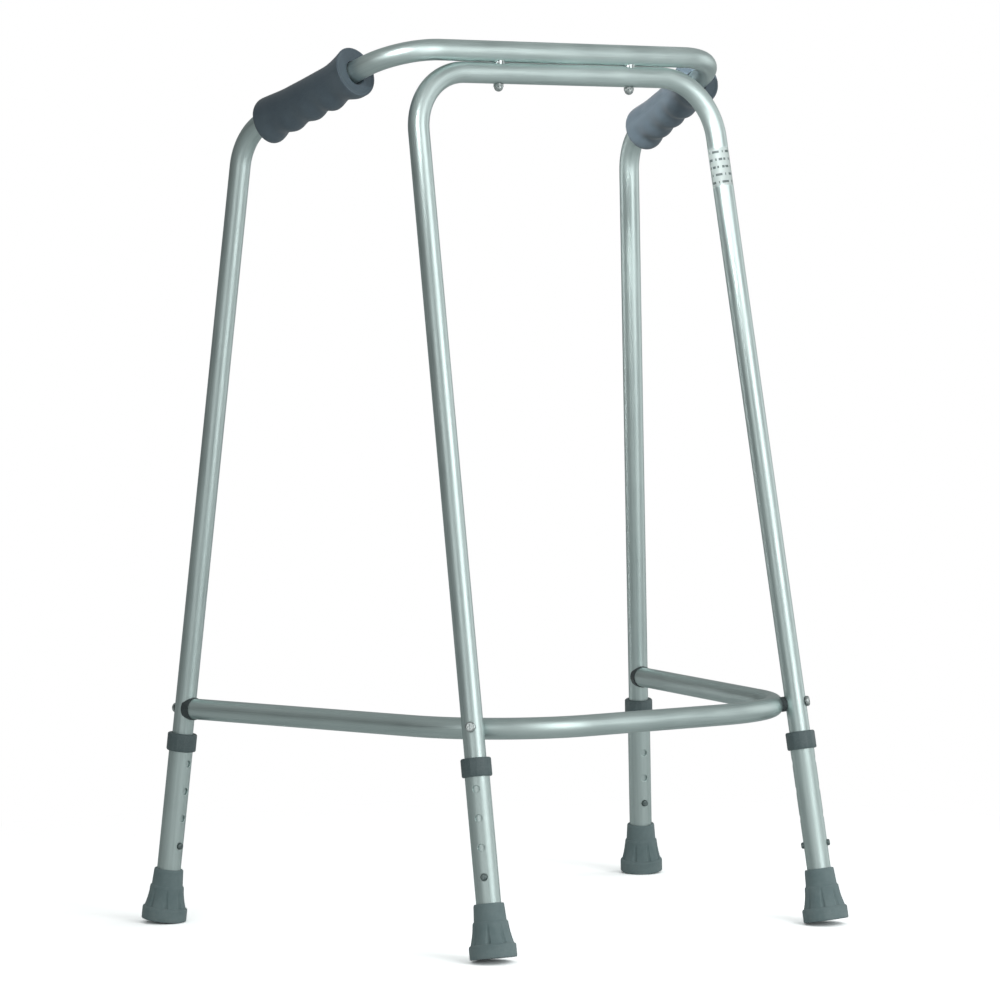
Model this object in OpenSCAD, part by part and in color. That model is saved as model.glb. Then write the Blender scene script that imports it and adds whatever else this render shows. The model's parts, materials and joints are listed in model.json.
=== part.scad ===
// Walking frame: a bent handle loop, a front leg loop, a horseshoe brace and four telescopic legs.
// +X is the frame's right seen from the front, +Y points to the user, +Z is up.
// The origin is on the floor at the centre of the four feet, with the legs at their shortest.

/* [Tube stock] */
// Outside diameter of the frame tube
tube_d = 22.2; // [21:0.1:23]
// Wall of the frame tube
tube_wall = 1.2; // [1:0.1:1.4]
// Wall of the leg extension tubes
sleeve_wall = 1.5; // [1.2:0.1:1.8]
// Radial running gap between a leg and its extension tube
slide_gap = 0.1; // [0.05:0.01:0.1]

/* [Handle loop] */
// Height of the crossbar's centreline
crossbar_h = 920; // [900:1:940]
// Width between the corners at the ends of the crossbar
crossbar_w = 425; // [410:1:440]
// Bend radius at the ends of the crossbar
crossbar_bend_r = 64; // [60:1:70]
// Height of the rear corners, where the handles turn down into the rear legs
rear_corner_h = 840; // [830:1:850]
// Width between the rear corners
rear_corner_w = 514; // [500:1:530]
// Distance from the crossbar back to the rear corners
handle_run = 223; // [215:1:230]
// Bend radius at the rear corners
rear_bend_r = 55; // [50:1:58]

/* [Front loop] */
// Gap between the crossbar and the bar of the front loop below it
bar_gap = 0.2; // [0.2:0.1:1]
// Width between the top corners of the front loop
front_corner_w = 386.4; // [376:0.2:396]
// Bend radius at the top corners of the front loop
front_bend_r = 66; // [60:1:72]

/* [Feet] */
// Width between the front feet
front_feet_w = 435; // [425:1:445]
// Width between the rear feet
rear_feet_w = 647; // [635:1:660]
// Distance between the front and the rear feet
feet_depth = 456; // [446:1:466]
// Distance from the front feet back to the crossbar
front_rake_run = 164.5; // [158:0.5:170]

/* [Lower brace] */
// Height of the brace's centreline
brace_h = 229.3; // [227:0.1:240]
// Bend radius of the brace's front corners
brace_bend_r = 143.7; // [138:0.1:150]
// Gap between the brace and a front leg
brace_gap = 2; // [1.8:0.1:3]
// Heading of the front screws and buttons, turned outwards from straight ahead
front_heading = 46; // [42:1:50]

/* [Height adjustment] */
// Height of the snap buttons above the sole of the ferrule
button_rise = 81.4; // [78:0.1:85]
// Spacing of the adjustment holes
hole_pitch = 29.5; // [28:0.1:30]
// Adjustment holes in each extension tube
hole_count = 4; // [3:1:4]
// Diameter of a snap button
button_d = 6.9; // [6:0.1:7.2]
// How far a button stands out of the extension tube
button_proud = 2.6; // [2:0.1:3]

/* [Collars and ferrules] */
// Outside diameter of the locking collar
collar_d = 31.5; // [30:0.1:34]
// Height of the locking collar
collar_h = 19; // [17:0.5:21]
// Height of a ferrule
ferrule_h = 55.2; // [52:0.1:58]
// Diameter of a ferrule's base ring
ferrule_base_d = 48; // [46:0.5:50]
// Diameter of a ferrule's top
ferrule_top_d = 31; // [30:0.5:33]

/* [Grips] */
// Length of a hand grip
grip_len = 140; // [134:1:142]
// Distance from the rear corner to a grip
grip_start = 37; // [36:0.5:40]
// Diameter at the waist of a grip
grip_waist_d = 42; // [38:0.5:44]
// Diameter of the front flange of a grip
grip_flange_d = 54; // [50:0.5:56]

/* [Hidden] */
$fn = 64;
fit_gap = 0.05;
tube_r = tube_d / 2;
bore_r = tube_r - tube_wall;
sleeve_r = tube_r + slide_gap + sleeve_wall;
seam = 0.02;

// crossbar joint
bar_h = crossbar_h - tube_d - bar_gap;
crossbar_y = front_rake_run - feet_depth / 2;
stud_x = 85.5;
bolt_r = 3;
bolt_hole_r = 3.2;
insert_r = 4.5;
insert_hole_r = insert_r + 0.08;
thread_r = bolt_r + fit_gap;
bulb_from = 3.2;
nut_af = 10;
nut_h = 3.2;
head_r = 5.5;
head_h = 3.8;

// height adjustment
sole_t = 10;
disc_t = 1.5;
sleeve_start = sole_t + disc_t + 2 * fit_gap;
sleeve_top = button_rise + (hole_count - 1) * hole_pitch + 29;
leg_end = button_rise - 14;
collar_lip = 2.7;
button_r = button_d / 2;
button_hole_r = button_r + 0.07;
sleeve_hole_r = button_r + 0.25;
flange_out = 8.75;
flange_r = 4.3;
strip_x = 7.35;
strip_t = 0.65;
tail_r = 1.9;
edge_r = 1.5;

// lower brace
saddle_out = 14.5;
plug_len = 18;
insert_sink = 1.1;

// plain label on the right front leg, measured from the sole and turned from the button's heading
label_rise = 791;
label_h = 41;
label_wrap = 150;
label_turn = -86;
label_t = 0.15;

LEGS = ["front_left", "front_right", "rear_left", "rear_right"];

// ---- vectors and placing ----

function unit(v) = v / norm(v);
function across(u) = unit(cross(abs(u.x) > 0.9 ? [0, 1, 0] : [1, 0, 0], u));
function placing(x, y, z, o) =
    [[x.x, y.x, z.x, o.x], [x.y, y.y, z.y, o.y], [x.z, y.z, z.z, o.z], [0, 0, 0, 1]];
// the point of the line from a to b that is at height h
function at_height(a, b, h) = a + (b - a) * (h - a.z) / (b.z - a.z);

// children's +Z runs from one point towards another
module along(from, to) {
    z = unit(to - from);
    x = across(z);
    multmatrix(placing(x, cross(z, x), z, from)) children();
}

// ---- corners of the frame, side is -1 on the left and 1 on the right ----

function front_corner(side) = [side * front_corner_w / 2, crossbar_y, bar_h];
function rear_corner(side) = [side * rear_corner_w / 2, crossbar_y + handle_run, rear_corner_h];
function handle_corner(side) = [side * crossbar_w / 2, crossbar_y, crossbar_h];

// legs are numbered in the order of LEGS
function leg_side(leg) = leg % 2 == 0 ? -1 : 1;
function is_rear(leg) = leg > 1;
function leg_foot(leg) = is_rear(leg)
    ? [leg_side(leg) * rear_feet_w / 2, feet_depth / 2, 0]
    : [leg_side(leg) * front_feet_w / 2, -feet_depth / 2, 0];
function leg_top(leg) = is_rear(leg) ? rear_corner(leg_side(leg)) : front_corner(leg_side(leg));
function leg_axis(leg) = unit(leg_top(leg) - leg_foot(leg));
// distance along the leg's axis from the floor to the sole, so that the tilted sole just touches the floor
function sole_rise(leg) = let (tilt = acos(leg_axis(leg).z))
    ((ferrule_base_d / 2 - edge_r) * sin(tilt) + edge_r) / cos(tilt) - edge_r;
// where the leg tube ends, on its axis
function leg_start(leg) = leg_foot(leg) + leg_axis(leg) * (sole_rise(leg) + leg_end);

// ---- the brace, as a horizontal horseshoe that seats on the front legs' spacers ----

function front_leg(side) = side < 0 ? 0 : 1;
function rear_leg(side) = side < 0 ? 2 : 3;
// the part of a direction that is square to a leg
function square_to_leg(v, leg) = unit(v - (v * leg_axis(leg)) * leg_axis(leg));
function front_heading_of(side) = [side * sin(front_heading), -cos(front_heading), 0];
// the front screws run square to the legs, and so rise a little towards their heads
function front_out(side) = square_to_leg(front_heading_of(side), front_leg(side));
function brace_reach() = tube_d + brace_gap;
function front_contact(side) = at_height(
    leg_foot(front_leg(side)), front_corner(side), brace_h + front_out(side).z * brace_reach());
function rear_contact(side) = at_height(leg_foot(rear_leg(side)), rear_corner(side), brace_h);
function bend_centre(side) = let (out = front_out(side))
    front_contact(side) - out * brace_reach() - unit([out.x, out.y, 0]) * brace_bend_r;
// direction of the brace's side, from the rear leg forwards
function side_heading(side) = let (
    to_centre = bend_centre(-1) - rear_contact(-1),
    angle = atan2(to_centre.y, to_centre.x) - asin(brace_bend_r / norm(to_centre))
) [-side * cos(angle), sin(angle), 0];
function brace_corner(side) = let (
    start = rear_contact(side),
    heading = side_heading(side),
    reach = (bend_centre(side).y - brace_bend_r - start.y) / heading.y
) start + heading * reach;

// direction in which the outer snap button of a leg points
function button_heading(leg) = is_rear(leg) ? side_heading(leg_side(leg)) : front_out(leg_side(leg));
// how far from a leg's axis a screw head seats, when its screw isn't square to the leg
function head_seat(leg, heading) = let (lean = abs(heading * leg_axis(leg)))
    (tube_r + head_r * lean) / sqrt(1 - lean * lean) + fit_gap;
// children's +Z runs up the leg's axis from the sole, and +X points along the outer snap button
module in_leg(leg) {
    z = leg_axis(leg);
    x = square_to_leg(button_heading(leg), leg);
    multmatrix(placing(x, cross(z, x), z, leg_foot(leg) + z * sole_rise(leg))) children();
}

// ---- tube stock ----

module pipe_profile(d, wall) {
    difference() {
        circle(d = d);
        circle(d = d - 2 * wall);
    }
}

module pipe(d, wall, h) {
    linear_extrude(h) pipe_profile(d, wall);
}

function turn(p, i) = acos(unit(p[i] - p[i - 1]) * unit(p[i + 1] - p[i]));
// how much of the straight run at corner i the bend takes
function bend_trim(p, r, i) = i == 0 || i == len(p) - 1 ? 0 : r[i - 1] * tan(turn(p, i) / 2);

// A tube through the corners, bent to a radius at each inner corner.
// A hair-thin seam ring at each end of a bend makes the run and the bend one solid.
module bent_tube(corners, bends, d, wall) {
    last = len(corners) - 1;
    for (i = [0:last - 1]) {
        start = bend_trim(corners, bends, i);
        run = norm(corners[i + 1] - corners[i]) - start - bend_trim(corners, bends, i + 1);
        along(corners[i], corners[i + 1]) translate([0, 0, start]) {
            pipe(d, wall, run);
            if (i > 0) translate([0, 0, -0.5]) pipe(d + 2 * seam, wall + 2 * seam, 1);
            if (i < last - 1) translate([0, 0, run - 0.5]) pipe(d + 2 * seam, wall + 2 * seam, 1);
        }
    }
    for (i = [1:last - 1]) {
        u = unit(corners[i] - corners[i - 1]);
        v = unit(corners[i + 1] - corners[i]);
        inward = unit(v - (u * v) * u);
        centre = corners[i] - u * bend_trim(corners, bends, i) + inward * bends[i - 1];
        multmatrix(placing(-inward, u, cross(-inward, u), centre))
            rotate_extrude(angle = turn(corners, i))
                translate([bends[i - 1], 0]) pipe_profile(d, wall);
    }
}

// ---- drilling ----

// a hole of radius r through both walls of the leg for its snap buttons
module button_drilling(leg) {
    in_leg(leg) translate([0, 0, button_rise]) rotate([0, 90, 0])
        cylinder(r = button_hole_r, h = 2 * tube_d, center = true);
}

module at_front_contact(side) {
    along(front_contact(side), front_contact(side) + front_out(side)) children();
}

module at_rear_contact(side) {
    along(rear_contact(side), rear_contact(side) + side_heading(side)) children();
}

module at_stud(side) {
    translate([side * stud_x, crossbar_y, bar_h]) children();
}

// ---- frame tubes ----

module handle_tube() {
    color("silver") difference() {
        bent_tube(
            [leg_start(2), rear_corner(-1), handle_corner(-1),
             handle_corner(1), rear_corner(1), leg_start(3)],
            [rear_bend_r, crossbar_bend_r, crossbar_bend_r, rear_bend_r], tube_d, tube_wall);
        for (leg = [2, 3]) button_drilling(leg);
        for (side = [-1, 1]) {
            at_rear_contact(side) cylinder(r = bolt_hole_r, h = 2 * tube_d, center = true);
            at_stud(side) translate([0, 0, tube_r]) cylinder(r = insert_hole_r, h = tube_r);
        }
    }
}

module front_leg_tube() {
    color("silver") difference() {
        bent_tube([leg_start(0), front_corner(-1), front_corner(1), leg_start(1)],
            [front_bend_r, front_bend_r], tube_d, tube_wall);
        for (leg = [0, 1]) button_drilling(leg);
        for (side = [-1, 1]) {
            at_front_contact(side) cylinder(r = bolt_hole_r, h = 2 * tube_d, center = true);
            at_stud(side) cylinder(r = bolt_hole_r, h = 2 * tube_d, center = true);
        }
    }
}

module lower_brace() {
    color("silver") difference() {
        bent_tube(
            [rear_contact(-1) + side_heading(-1) * saddle_out, brace_corner(-1),
             brace_corner(1), rear_contact(1) + side_heading(1) * saddle_out],
            [brace_bend_r, brace_bend_r], tube_d, tube_wall);
        for (side = [-1, 1])
            at_front_contact(side) translate([0, 0, -tube_d])
                cylinder(r = insert_hole_r, h = tube_r);
    }
}

// ---- hand grips ----

module grip(side) {
    waist_r = grip_waist_d / 2;
    flange_r = grip_flange_d / 2;
    heel_r = waist_r + 3.5;
    mouth_r = tube_r + fit_gap;
    color("slategray") along(rear_corner(side), handle_corner(side))
        translate([0, 0, grip_start]) rotate_extrude() polygon([
            [mouth_r, 0], [heel_r - 2, 0], [heel_r, 2], [heel_r, 8],
            [waist_r + 0.4, grip_len * 0.3], [waist_r, grip_len * 0.5],
            [waist_r, grip_len * 0.75], [waist_r + 2.2, grip_len * 0.89],
            [flange_r, grip_len - 4], [flange_r, grip_len - 1.5],
            [flange_r - 1.5, grip_len], [mouth_r, grip_len]
        ]);
}

// ---- crossbar joint ----

// blind threaded insert: a barrel through a tube wall with a bulb behind it, mouth at z = 0
module insert_body(bulb_at) {
    cylinder(r = insert_r, h = 11);
    translate([0, 0, bulb_at]) cylinder(r = insert_r + 1.2, h = 2.5);
}

// inserts in the crossbar, with a flange pressed to the shape of the groove between the two tubes
module crossbar_inserts() {
    flange = insert_r + 2;
    groove = tube_r - sqrt(tube_r * tube_r - flange * flange);
    color("gainsboro") for (side = [-1, 1]) at_stud(side) difference() {
        union() {
            difference() {
                translate([0, 0, tube_r - groove]) cylinder(r = flange, h = 2 * groove + bar_gap);
                for (h = [0, tube_d + bar_gap]) translate([0, 0, h]) rotate([0, 90, 0])
                    cylinder(r = tube_r + fit_gap, h = 4 * flange, center = true, $fn = 256);
            }
            translate([0, 0, tube_r + fit_gap]) insert_body(bar_gap + bulb_from);
        }
        cylinder(r = thread_r, h = 2 * tube_d);
    }
}

module crossbar_studs() {
    color("gainsboro") for (side = [-1, 1]) at_stud(side)
        translate([0, 0, -tube_r - nut_h]) cylinder(r = bolt_r, h = tube_d + nut_h + bar_gap + 9);
}

module crossbar_dome_nuts() {
    dome_r = nut_af * 0.48;
    color("gainsboro") for (side = [-1, 1]) at_stud(side)
        translate([0, 0, -tube_r - fit_gap]) rotate([180, 0, 0]) difference() {
            union() {
                cylinder(d = nut_af / cos(30), h = nut_h, $fn = 6);
                translate([0, 0, nut_h]) intersection() {
                    sphere(r = dome_r);
                    cylinder(r = dome_r + 1, h = dome_r + 1);
                }
            }
            translate([0, 0, -1]) cylinder(r = thread_r, h = nut_h + 1.2);
        }
}

// ---- brace joints ----

// a pan-head screw: underside of the head at z = 0, shank downwards, cross recess on top
module pan_screw(shank) {
    difference() {
        union() {
            translate([0, 0, -shank]) cylinder(r = bolt_r, h = shank + 0.1);
            rotate_extrude() polygon(concat(
                [[0, 0], [head_r, 0], [head_r, head_h * 0.4]],
                [for (a = [0:15:90])
                    [head_r - 2.2 + 2.2 * cos(a), head_h * (0.4 + 0.6 * sin(a))]],
                [[0, head_h]]
            ));
        }
        for (a = [0, 90]) rotate([0, 0, a]) translate([0, 0, head_h])
            cube([5.6, 1.3, 3.6], center = true);
    }
}

module front_brace_screws() {
    color("gainsboro") for (side = [-1, 1])
        at_front_contact(side) translate([0, 0, tube_r + fit_gap])
            pan_screw(brace_reach() + 10);
}

module front_brace_spacers() {
    color("dimgray") for (side = [-1, 1]) difference() {
        at_front_contact(side) translate([0, 0, -tube_r - brace_gap - 3])
            difference() {
                cylinder(r = 8, h = brace_gap + 6);
                translate([0, 0, -1]) cylinder(r = bolt_hole_r, h = brace_gap + 8);
            }
        along(leg_foot(front_leg(side)), front_corner(side))
            cylinder(r = tube_r + fit_gap, h = 400);
        translate(bend_centre(side)) rotate_extrude($fn = 720)
            translate([brace_bend_r, 0]) circle(r = tube_r + fit_gap, $fn = 64);
    }
}

module front_brace_inserts() {
    color("gainsboro") for (side = [-1, 1])
        at_front_contact(side) translate([0, 0, -tube_r - brace_gap - insert_sink]) rotate([180, 0, 0])
            difference() {
                insert_body(bulb_from);
                translate([0, 0, -1]) cylinder(r = thread_r, h = 20);
            }
}

module rear_brace_screws() {
    color("gainsboro") for (side = [-1, 1])
        at_rear_contact(side)
            translate([0, 0, -head_seat(rear_leg(side), side_heading(side))]) rotate([180, 0, 0])
                pan_screw(tube_d + 18);
}

module rear_brace_saddles() {
    color("dimgray") for (side = [-1, 1]) difference() {
        at_rear_contact(side) translate([0, 0, 5]) difference() {
            cylinder(r = tube_r + 0.9, h = saddle_out - 5 - fit_gap);
            translate([0, 0, -1]) cylinder(r = bolt_hole_r, h = saddle_out);
        }
        along(leg_foot(rear_leg(side)), rear_corner(side)) cylinder(r = tube_r + fit_gap, h = 400);
    }
}

module rear_brace_plugs() {
    color("dimgray") for (side = [-1, 1])
        at_rear_contact(side) translate([0, 0, saddle_out]) difference() {
            cylinder(r = bore_r - fit_gap, h = plug_len);
            translate([0, 0, -1]) cylinder(r = thread_r, h = plug_len + 2);
        }
}

// ---- plain label, wrapped part way round the right front leg ----

module blank_label() {
    color("white") in_leg(1) translate([0, 0, label_rise]) rotate([0, 0, label_turn - label_wrap / 2])
        rotate_extrude(angle = label_wrap) translate([tube_r + seam, 0]) square([label_t, label_h]);
}

// ---- height adjustment ----

// outline of a strip of thickness t whose middle line is a list of points
function strip_side(path, t) = [for (i = [0:len(path) - 1]) let (
    back = path[max(i - 1, 0)],
    ahead = path[min(i + 1, len(path) - 1)],
    d = unit(ahead - back)
) path[i] + [-d.y, d.x] * t];
function reversed(list) = [for (i = [len(list) - 1:-1:0]) list[i]];

// hairpin leaf spring: two flat leaves carry the buttons, and meet in a round bend above
module snap_spring(leg) {
    bend_r = 2.4;
    bend_z = 42;
    path = concat(
        [[strip_x, -6], [strip_x, 7]],
        [for (a = [0:20:180]) [bend_r * cos(a), bend_z + bend_r * sin(a)]],
        [[-strip_x, 7], [-strip_x, -6]]
    );
    width = 8;
    color("lightsteelblue") in_leg(leg) translate([0, 0, button_rise]) difference() {
        rotate([90, 0, 0]) translate([0, 0, -width / 2]) linear_extrude(width)
            polygon(concat(strip_side(path, strip_t / 2), reversed(strip_side(path, -strip_t / 2))));
        rotate([0, 90, 0]) cylinder(r = tail_r + fit_gap, h = 2 * bore_r, center = true);
    }
}

// domed button with a flange behind the leg's wall and a tail riveted through the spring
module snap_button(leg, outward) {
    tip = sleeve_r + button_proud;
    dome = 1.6;
    tail_end = strip_x - strip_t / 2 - fit_gap;
    flange_in = strip_x + strip_t / 2 + fit_gap;
    color("lightslategray") in_leg(leg) translate([0, 0, button_rise]) rotate([0, outward * 90, 0])
        rotate_extrude() polygon(concat(
            [[0, tail_end - 0.8], [tail_r + 0.8, tail_end - 0.8], [tail_r + 0.8, tail_end],
             [tail_r, tail_end], [tail_r, flange_in], [flange_r, flange_in],
             [flange_r, flange_out], [button_r, flange_out]],
            [for (a = [0:15:90]) [button_r - dome + dome * cos(a), tip - dome + dome * sin(a)]],
            [[0, tip]]
        ));
}

// leg extension tube with a column of adjustment holes through both walls
module extension_tube(leg) {
    color("silver") in_leg(leg) difference() {
        translate([0, 0, sleeve_start]) cylinder(r = sleeve_r, h = sleeve_top - sleeve_start);
        translate([0, 0, sleeve_start - 1])
            cylinder(r = tube_r + slide_gap, h = sleeve_top - sleeve_start + 2);
        for (i = [0:hole_count - 1])
            translate([0, 0, button_rise + i * hole_pitch]) rotate([0, 90, 0])
                cylinder(r = sleeve_hole_r, h = 2 * tube_d, center = true);
    }
}

// locking collar pressed over the top of the extension tube, with a lip that guides the leg
module collar(leg) {
    outer = collar_d / 2;
    chamfer = 1.2;
    seat = collar_h - collar_lip;
    color("darkslategray") in_leg(leg) translate([0, 0, sleeve_top - seat])
        rotate_extrude() polygon([
            [sleeve_r + fit_gap, 0], [outer - chamfer, 0], [outer, chamfer],
            [outer, collar_h - chamfer], [outer - chamfer, collar_h],
            [tube_r + slide_gap, collar_h], [tube_r + slide_gap, seat + fit_gap],
            [sleeve_r + fit_gap, seat + fit_gap]
        ]);
}

// rubber ferrule: flat sole with a rounded edge, base ring, tapered skirt and a plain neck
module ferrule(leg) {
    base_r = ferrule_base_d / 2;
    neck_r = ferrule_top_d / 2;
    base_top = 14;
    skirt_top = 37;
    color("lightslategray") in_leg(leg) rotate_extrude() polygon(concat(
        [[0, 0]],
        [for (a = [-90:15:0]) [base_r - edge_r + edge_r * cos(a), edge_r + edge_r * sin(a)]],
        [[base_r, base_top - 0.6], [base_r - 0.6, base_top],
         [base_r - 1.6, base_top + 0.6], [neck_r + 2.2, skirt_top - 0.8],
         [neck_r + 1.6, skirt_top], [neck_r + 0.8, skirt_top + 0.4],
         [neck_r, ferrule_h - 0.8], [neck_r - 0.8, ferrule_h],
         [sleeve_r + fit_gap, ferrule_h], [sleeve_r + fit_gap, sole_t], [0, sole_t]]
    ));
}

// steel disc under the end of the extension tube, so that it can't punch through the rubber
module ferrule_disc(leg) {
    color("gray") in_leg(leg) translate([0, 0, sole_t + fit_gap])
        cylinder(r = sleeve_r - 0.1, h = disc_t);
}

handle_tube();
front_leg_tube();
lower_brace();
grip(-1);  // left_grip
grip(1);  // right_grip
crossbar_inserts();
crossbar_studs();
crossbar_dome_nuts();
front_brace_screws();
front_brace_spacers();
front_brace_inserts();
rear_brace_screws();
rear_brace_saddles();
rear_brace_plugs();
blank_label();
for (leg = [0:3]) {
    snap_spring(leg);
    extension_tube(leg);
    collar(leg);
    ferrule(leg);
    ferrule_disc(leg);
    snap_button(leg, 1);
    snap_button(leg, -1);
}
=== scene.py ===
"""Walking frame: drawn tubes, moulded parts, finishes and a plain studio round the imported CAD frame.

Everything is in metres in the CAD's frame: +X is the frame's right seen from the front, +Y points to the
user, +Z is up, and the floor is at z = 0. Places come from the record's mounts and joints.
"""

import json
import math

import bmesh
import bpy
from mathutils import Matrix, Vector

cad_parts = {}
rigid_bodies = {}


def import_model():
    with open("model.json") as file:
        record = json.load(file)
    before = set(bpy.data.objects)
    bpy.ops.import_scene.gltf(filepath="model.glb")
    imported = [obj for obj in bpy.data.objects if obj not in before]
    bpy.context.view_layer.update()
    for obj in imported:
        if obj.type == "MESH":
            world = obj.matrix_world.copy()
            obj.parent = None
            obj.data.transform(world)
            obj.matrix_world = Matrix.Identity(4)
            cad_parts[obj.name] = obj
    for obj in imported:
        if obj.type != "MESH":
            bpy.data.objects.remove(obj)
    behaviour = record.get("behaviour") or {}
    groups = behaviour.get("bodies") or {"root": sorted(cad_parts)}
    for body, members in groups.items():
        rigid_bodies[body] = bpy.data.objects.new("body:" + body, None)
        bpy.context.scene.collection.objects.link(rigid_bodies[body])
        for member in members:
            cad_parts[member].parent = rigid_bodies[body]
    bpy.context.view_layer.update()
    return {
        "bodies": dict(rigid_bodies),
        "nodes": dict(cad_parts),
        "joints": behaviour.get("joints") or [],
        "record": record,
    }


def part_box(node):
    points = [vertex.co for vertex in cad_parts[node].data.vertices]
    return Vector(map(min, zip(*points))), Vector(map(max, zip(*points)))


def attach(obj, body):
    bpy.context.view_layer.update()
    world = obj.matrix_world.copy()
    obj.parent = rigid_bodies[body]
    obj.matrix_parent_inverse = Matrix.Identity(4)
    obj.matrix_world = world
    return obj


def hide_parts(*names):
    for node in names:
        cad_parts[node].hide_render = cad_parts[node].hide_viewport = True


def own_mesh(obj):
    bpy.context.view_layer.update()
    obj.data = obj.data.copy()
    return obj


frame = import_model()

MM = 0.001
LEGS = ("front_left", "front_right", "rear_left", "rear_right")
JOINTS = {joint["name"]: joint for joint in frame["joints"]}
MOUNTS = {mount["name"]: mount for mount in frame["record"]["mounts"]}

# ---- sizes that the record doesn't hold, as in the CAD source ----

TUBE_R = MOUNTS["crossbar_rail"]["dims"]["r_mm"] * MM
TUBE_WALL = 1.2 * MM
CROSSBAR_W = 425 * MM
CROSSBAR_BEND_R = 64 * MM
REAR_CORNER_H = 840 * MM
REAR_BEND_R = 55 * MM
FRONT_BEND_R = 66 * MM
BRACE_BEND_R = 143.7 * MM
BRACE_END = 14.5 * MM  # from a rear leg's axis to the brace's end
LEG_END = 67.4 * MM  # from a sole to the end of the leg tube inside its extension
GRIP_START = 37 * MM  # from a rear corner, along the handle
GRIP_LEN = 140 * MM
SLEEVE_R = 12.7 * MM
SLEEVE_BORE_R = 11.2 * MM
SLEEVE_START = 11.6 * MM
SLEEVE_END = 198.9 * MM
HOLE_R = 3.7 * MM
FIRST_HOLE = 81.4 * MM
HOLE_PITCH = 29.5 * MM
HOLE_COUNT = 4
COLLAR_START = 182.6 * MM
LABEL_START = 791 * MM
LABEL_H = 41 * MM


# ---- places ----


def basis(x, y, z, origin):
    """The matrix whose columns are the axes x, y and z, at origin."""
    place = Matrix((x, y, z)).transposed().to_4x4()
    place.translation = origin
    return place


def leg_place(leg):
    """Local +Z runs up the leg from the middle of its sole, and +X along its outer snap button."""
    up = -Vector(MOUNTS[leg + "_sole"]["axis"]).normalized()
    out = -Vector(JOINTS[leg + "_outer_press"]["axis"])
    out = (out - out.dot(up) * up).normalized()
    return basis(out, up.cross(out), up, Vector(MOUNTS[leg + "_sole"]["pos_m"]))


def on_leg(leg, height):
    """The point of a leg's axis at a height above the floor."""
    place = leg_place(leg)
    up = place.col[2].xyz
    return place.translation + up * ((height - place.translation.z) / up.z)


def leg_end(leg):
    return leg_place(leg) @ Vector((0, 0, LEG_END))


def rear_corner(side):
    return on_leg("rear_left" if side < 0 else "rear_right", REAR_CORNER_H)


def handle_corner(side):
    middle = Vector(MOUNTS["crossbar_rail"]["pos_m"])
    return middle + Vector((side * CROSSBAR_W / 2, 0, 0))


def grip_place(side):
    """Local +Z runs forwards along the handle from the grip's rear end, and +X points down."""
    start = rear_corner(side)
    ahead = (handle_corner(side) - start).normalized()
    down = Vector((0, 0, -1))
    down = (down - down.dot(ahead) * ahead).normalized()
    return basis(down, ahead.cross(down), ahead, start + ahead * GRIP_START)


# ---- skins ----

SAME_POINT = 1e-6
SHARP_EDGE = math.radians(35)


def loft(rings, cyclic=False):
    """Vertices and quads of a skin over rings of equal length, each closed on itself."""
    count = len(rings[0])
    faces = []
    for i in range(len(rings) if cyclic else len(rings) - 1):
        a, b = i * count, (i + 1) % len(rings) * count
        for k in range(count):
            j = (k + 1) % count
            faces.append((a + k, a + j, b + j, b + k))
    return [point for ring in rings for point in ring], faces


def revolve(profile, count, shape=None):
    """A closed skin of revolution about +Z. profile runs round the section as (radius, height), and closes
    on itself unless it begins and ends on the axis. shape(radius, height, angle) changes a radius."""
    angles = [math.tau * k / count for k in range(count)]
    rings = []
    for radius, height in profile:
        ring = []
        for angle in angles:
            r = shape(radius, height, angle) if shape else radius
            ring.append(Vector((r * math.cos(angle), r * math.sin(angle), height)))
        rings.append(ring)
    on_axis = profile[0][0] == 0
    return loft(rings, cyclic=not on_axis)


def make(name, skin, stands_for, body, place=Matrix(), stock=None):
    """A piece from a skin in local coordinates, which its finish reads unless stock gives others."""
    verts, faces = skin
    mesh = bpy.data.meshes.new(name)
    mesh.from_pydata([place @ point for point in verts], [], faces)
    local = mesh.attributes.new("stock", "FLOAT_VECTOR", "POINT")
    local.data.foreach_set("vector", [value for point in (stock or verts) for value in point])
    work = bmesh.new()
    work.from_mesh(mesh)
    bmesh.ops.remove_doubles(work, verts=work.verts, dist=SAME_POINT)
    bmesh.ops.recalc_face_normals(work, faces=work.faces)
    work.to_mesh(mesh)
    work.free()
    mesh.shade_smooth()
    mesh.set_sharp_from_angle(angle=SHARP_EDGE)
    piece = bpy.data.objects.new(name, mesh)
    bpy.context.scene.collection.objects.link(piece)
    slot = frame["nodes"][stands_for].material_slots[0].material.name
    mesh.materials.append(FINISHES[slot])
    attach(piece, body)
    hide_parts(stands_for)
    return piece


def eased(points, at):
    """The value at a place between (place, value) points, eased so that it is level at each of them."""
    for (a, low), (b, high) in zip(points, points[1:]):
        if at <= b:
            share = max(0.0, min(1.0, (at - a) / (b - a)))
            return low + (high - low) * share * share * (3 - 2 * share)
    return points[-1][1]


# ---- bent tubes ----

BEND_STEP = math.radians(2.5)
RUN_STEP = 12 * MM
TUBE_ROUND = 72  # points round a tube


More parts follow.
